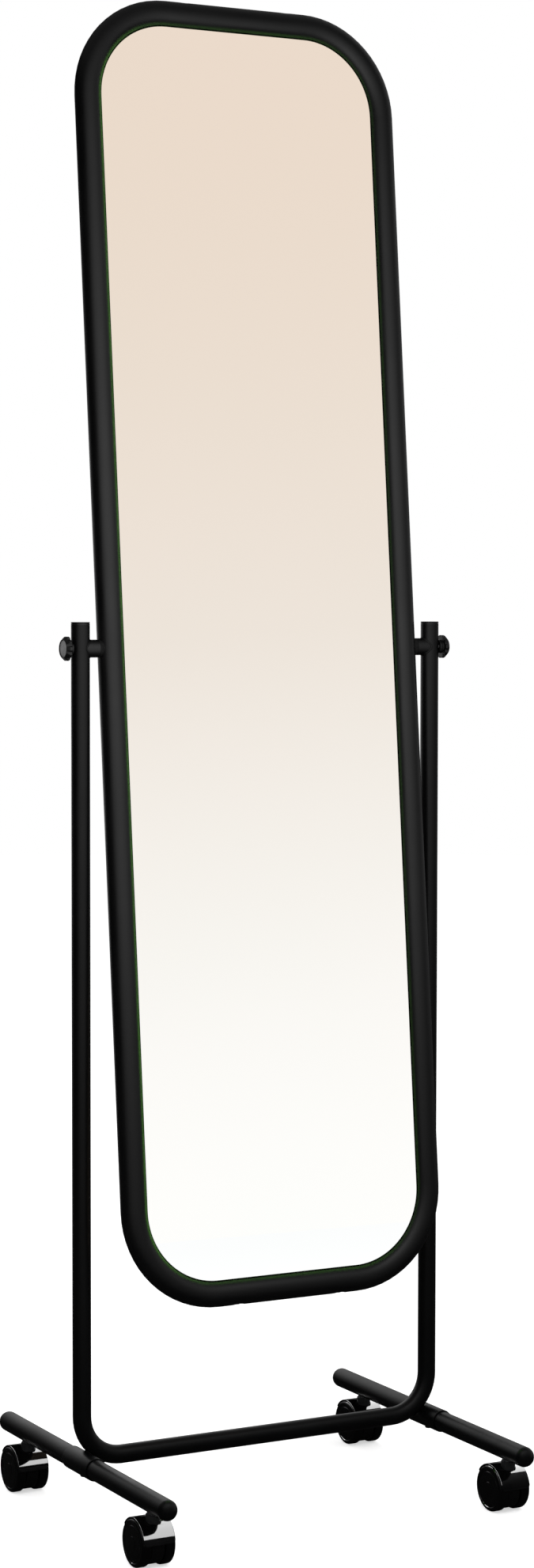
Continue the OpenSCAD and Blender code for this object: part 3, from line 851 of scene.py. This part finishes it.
def stem(name, x, y):
    """Pin, collar and threaded end in one."""
    line = rounded([
        (0, STEM_FOOT, 0), (STEM_R, STEM_FOOT, 0.0008), (STEM_R, COLLAR_Z, 0),
        (COLLAR_R - 0.001, COLLAR_Z, 0), (COLLAR_R, COLLAR_Z + 0.001, 0.0006),
        (COLLAR_R, COLLAR_TOP, 0.0004), (STEM_R, COLLAR_TOP, 0),
        (STEM_R, STEM_TOP, 0.0005), (0, STEM_TOP, 0),
    ], 6)
    place = Matrix.Translation((x, y, 0))
    turned(name, "_turned", line, place, M_BLACK, "stand")


for corner, s, y in CORNERS:
    stem("caster_stem_" + corner, s * POST_X, y)
    for which, out in (("outer", s), ("inner", -s)):
        name = "caster_wheel_%s_%s" % (corner, which)
        wheel(name, "wheel %s_%s" % (corner, which), s * POST_X, y + TRAIL, out)
    hood("caster_hood_" + corner, "caster " + corner, s * POST_X, y + TRAIL)


# ---- floor, light and camera ----

FLOOR_GREY, FLOOR_DIM, FLOOR_LIFT = 0.80, 0.78, 0.56
# A painted green reflection: the floor and the world glow in this green for rays that go from a
# tube on to the glass, standing for the glass's green edge.
PAINTED_GREEN_REFLECTION = (0.25, 0.7, 0.12)
# The plain room that the glass mirrors, from its lower part to its upper.
ROOM_LOW = (1.07, 1.06, 1.04, 1)
ROOM_MIDDLE = (0.91, 0.825, 0.745, 1)
ROOM_HIGH = (0.885, 0.745, 0.63, 1)
LAMP_SIZE, LAMP_AIM = 2.4, Vector((0, 0, 0.7))
PANEL_Z, PANEL_GLOW = 3.0, 13.3
PANEL_OUTLINE = (
    (-0.7, -7.0), (4.0, -7.0), (3.05, -5.3), (1.85, -1.05), (5, -1.05), (5, 4.5), (-0.7, 4.5),
)
# The camera's turn to the right of +Y, its dip and its roll are in degrees.
CAMERA_AT, CAMERA_TURN, CAMERA_LENS = (-1.6262, -3.0354, 0.9855), (28.269, 3.254, 0.075), 72.755


def new_material(name):
    """A material and its node tree, still empty."""
    mat = bpy.data.materials.new(name)
    mat.use_nodes = True
    mat.node_tree.nodes.clear()
    return mat, Nodes(mat.node_tree)


def floor():
    """A pale floor that keeps the shadow. Seen straight or in the mirror it is lifted to plain
    white, what shines sees it dark, and what shines by way of the glass sees a painted green
    reflection glowing from it."""
    bm = bmesh.new()
    lathe(bm, [(0, 0), (0.5, 0), (2, 0), (9, 0)])
    obj = solid_object("floor", bm)
    mat, t = new_material("pale floor")
    path = t.node("ShaderNodeLightPath").outputs
    # A deep ray has been mirrored twice, as from a tube and then the glass.
    deep = t.math("GREATER_THAN", path["Glossy Depth"], 1.5)
    mirrored = t.math("MULTIPLY", path["Is Singular Ray"], t.math("SUBTRACT", 1, deep))
    seen = t.math("MAXIMUM", path["Is Camera Ray"], mirrored)
    dim = t.math("GREATER_THAN", t.math("SUBTRACT", path["Is Glossy Ray"], mirrored), 0.5)
    diffuse = t.node("ShaderNodeBsdfDiffuse")
    grey = t.math("SUBTRACT", FLOOR_GREY, t.math("MULTIPLY", dim, FLOOR_DIM))
    t.feed(diffuse.inputs["Color"], grey)
    lift = t.glow(t.math("MULTIPLY", seen, FLOOR_LIFT))
    # Painted reflection: a green glow for rays mirrored by a tube and then the glass.
    painted_green = t.glow(t.math("MULTIPLY", path["Is Singular Ray"], deep), PAINTED_GREEN_REFLECTION)
    t.finish("ShaderNodeOutputMaterial", t.add(t.add(diffuse.outputs[0], lift), painted_green))
    obj.data.materials.append(mat)


floor()


def shine_only_on(obj, name, wanted):
    """Keeps obj's light to the pieces that wanted() picks."""
    group = bpy.data.collections.new(name)
    for part in [o for o in bpy.data.objects if o.type == "MESH" and wanted(o.name)]:
        group.objects.link(part)
    obj.light_linking.receiver_collection = group


def cloth(name, bm, glow, group, wanted):
    """A lit cloth that is seen only where the pieces that wanted() picks mirror it.
    glow(tree) gives its strength, worked out in the node tree of its material."""
    obj = mesh_object(name, bm)
    mat, t = new_material(name + " cloth")
    mat.cycles.emission_sampling = "NONE"
    clear = t.node("ShaderNodeBsdfTransparent").outputs[0]
    t.finish("ShaderNodeOutputMaterial", t.add(t.glow(glow(t)), clear))
    obj.data.materials.append(mat)
    obj.visible_camera = False
    obj.visible_diffuse = False
    obj.visible_shadow = False
    obj.visible_transmission = False
    shine_only_on(obj, group, wanted)


def screen(name, y, top, peak, centre, spread):
    """An upright cloth at y, brightest at its centre (x, z) and dying away over spread."""
    half_w, columns, rows = 2.4, 8, 6
    bm = bmesh.new()
    across = [2 * half_w * i / columns - half_w for i in range(columns + 1)]
    grid = [[bm.verts.new((x, y, top * j / rows)) for x in across] for j in range(rows + 1)]
    for a, b in zip(grid, grid[1:]):
        for i in range(columns):
            bm.faces.new((a[i], a[i + 1], b[i + 1], b[i]))

    def glow(t):
        where = t.node("ShaderNodeSeparateXYZ")
        t.feed(where.inputs[0], t.node("ShaderNodeTexCoord").outputs["Object"])
        square = 0.0
        for axis, middle, reach in zip("XZ", centre, spread):
            off = t.math("DIVIDE", t.math("SUBTRACT", where.outputs[axis], middle), reach)
            square = t.math("ADD", square, t.math("MULTIPLY", off, off))
        bell = t.math("MULTIPLY", t.math("EXPONENT", t.math("MULTIPLY", square, -0.5)), peak)
        singular = t.node("ShaderNodeLightPath").outputs["Is Singular Ray"]
        return t.math("MULTIPLY", bell, t.math("SUBTRACT", 1, singular))

    cloth(name, bm, glow, name + "_parts",
          lambda part: not part.startswith(("backing_board", "floor")))


screen("front_screen", -0.45, 2.8, 1.12, (-0.22, 1.12), (0.50, 0.44))
screen("back_screen", 1.20, 2.2, 1.25, (0.14, 0.80), (0.60, 0.36))


def studio():
    """White to the camera, a soft pale room to the mirror, a lit studio to what shines, and a
    painted green reflection to what shines by way of the glass.
    """
    world = bpy.data.worlds.new("studio")
    bpy.context.scene.world = world
    world.use_nodes = True
    world.cycles.sampling_method = "NONE"
    world.node_tree.nodes.clear()
    t = Nodes(world.node_tree)

    def ramp(value, a, b, low, high):
        return t.spread(value, low, high, a, b, "SMOOTHSTEP")

    where = t.node("ShaderNodeSeparateXYZ")
    t.feed(where.inputs[0], t.node("ShaderNodeTexCoord").outputs["Generated"])
    x, y, z = where.outputs
    rightwards = t.math("ADD", t.math("MULTIPLY", x, 0.9), t.math("MULTIPLY", y, 0.25))
    right = t.math("MULTIPLY", ramp(rightwards, 0.35, 0.9, 0, 0.32), ramp(z, -0.12, 0.02, 0, 1))
    shine = t.math("ADD", t.math("ADD", ramp(z, 0.3, 0.9, 0, 0.12), 0.004), right)
    grey = t.node("ShaderNodeCombineColor")
    for k in range(3):
        t.feed(grey.inputs[k], shine)

    room = t.node("ShaderNodeValToRGB")
    t.feed(room.inputs[0], ramp(z, -0.06, 0.34, 0, 1))
    stops = room.color_ramp.elements
    stops[0].position, stops[0].color = 0.0, ROOM_LOW
    stops[1].position, stops[1].color = 1.0, ROOM_HIGH
    stops.new(0.55).color = ROOM_MIDDLE

    path = t.node("ShaderNodeLightPath").outputs
    deep = t.math("GREATER_THAN", path["Glossy Depth"], 1.5)
    color = t.mix(path["Is Glossy Ray"], (0.6, 0.6, 0.6), grey.outputs[0])
    # Rays mirrored twice, by a tube and then the glass, see the painted green reflection.
    color = t.mix(path["Is Singular Ray"], color, t.mix(deep, room.outputs["Color"], PAINTED_GREEN_REFLECTION))
    color = t.mix(path["Is Camera Ray"], color, (1.0, 1.0, 1.0))
    background = t.node("ShaderNodeBackground")
    t.feed(background.inputs["Color"], color)
    t.finish("ShaderNodeOutputWorld", background.outputs[0])


studio()


def lamp(name, where, watts):
    """A soft round light on the stand, which neither the camera nor what shines sees."""
    data = bpy.data.lights.new(name, "AREA")
    data.shape = "DISK"
    data.size = LAMP_SIZE
    data.energy = watts
    obj = bpy.data.objects.new(name, data)
    obj.location = where
    obj.rotation_euler = (LAMP_AIM - Vector(where)).to_track_quat("-Z", "Y").to_euler()
    obj.visible_camera = False
    obj.visible_glossy = False
    bpy.context.scene.collection.objects.link(obj)


lamp("key", (-2.2, -2.4, 3.2), 60)
lamp("fill", (2.6, -1.2, 2.4), 22)
lamp("back", (0.8, 3.0, 2.6), 30)


def panel():
    """A cloth overhead for the polished casters only, cut back in front of the right ones."""
    bm = bmesh.new()
    bm.faces.new([bm.verts.new((x, y, PANEL_Z)) for x, y in PANEL_OUTLINE])
    cloth("panel", bm, lambda t: PANEL_GLOW, "polished_parts",
          lambda part: part.startswith(("caster_hood", "caster_wheel")))


panel()


def camera():
    data = bpy.data.cameras.new("camera")
    data.sensor_width = 36
    data.lens = CAMERA_LENS
    data.clip_end = 60
    obj = bpy.data.objects.new("camera", data)
    yaw, pitch, roll = (math.radians(d) for d in CAMERA_TURN)
    ahead = Vector((
        math.sin(yaw) * math.cos(pitch), math.cos(yaw) * math.cos(pitch), -math.sin(pitch),
    ))
    right = Vector((math.cos(yaw), -math.sin(yaw), 0))
    up = right.cross(ahead)
    rolled = right * math.cos(roll) + up * math.sin(roll)
    axes = Matrix((rolled, rolled.cross(ahead), -ahead)).transposed()
    obj.matrix_world = Matrix.Translation(CAMERA_AT) @ axes.to_4x4()
    bpy.context.scene.collection.objects.link(obj)
    bpy.context.scene.camera = obj


camera()
bpy.context.scene.view_settings.view_transform = "Standard"
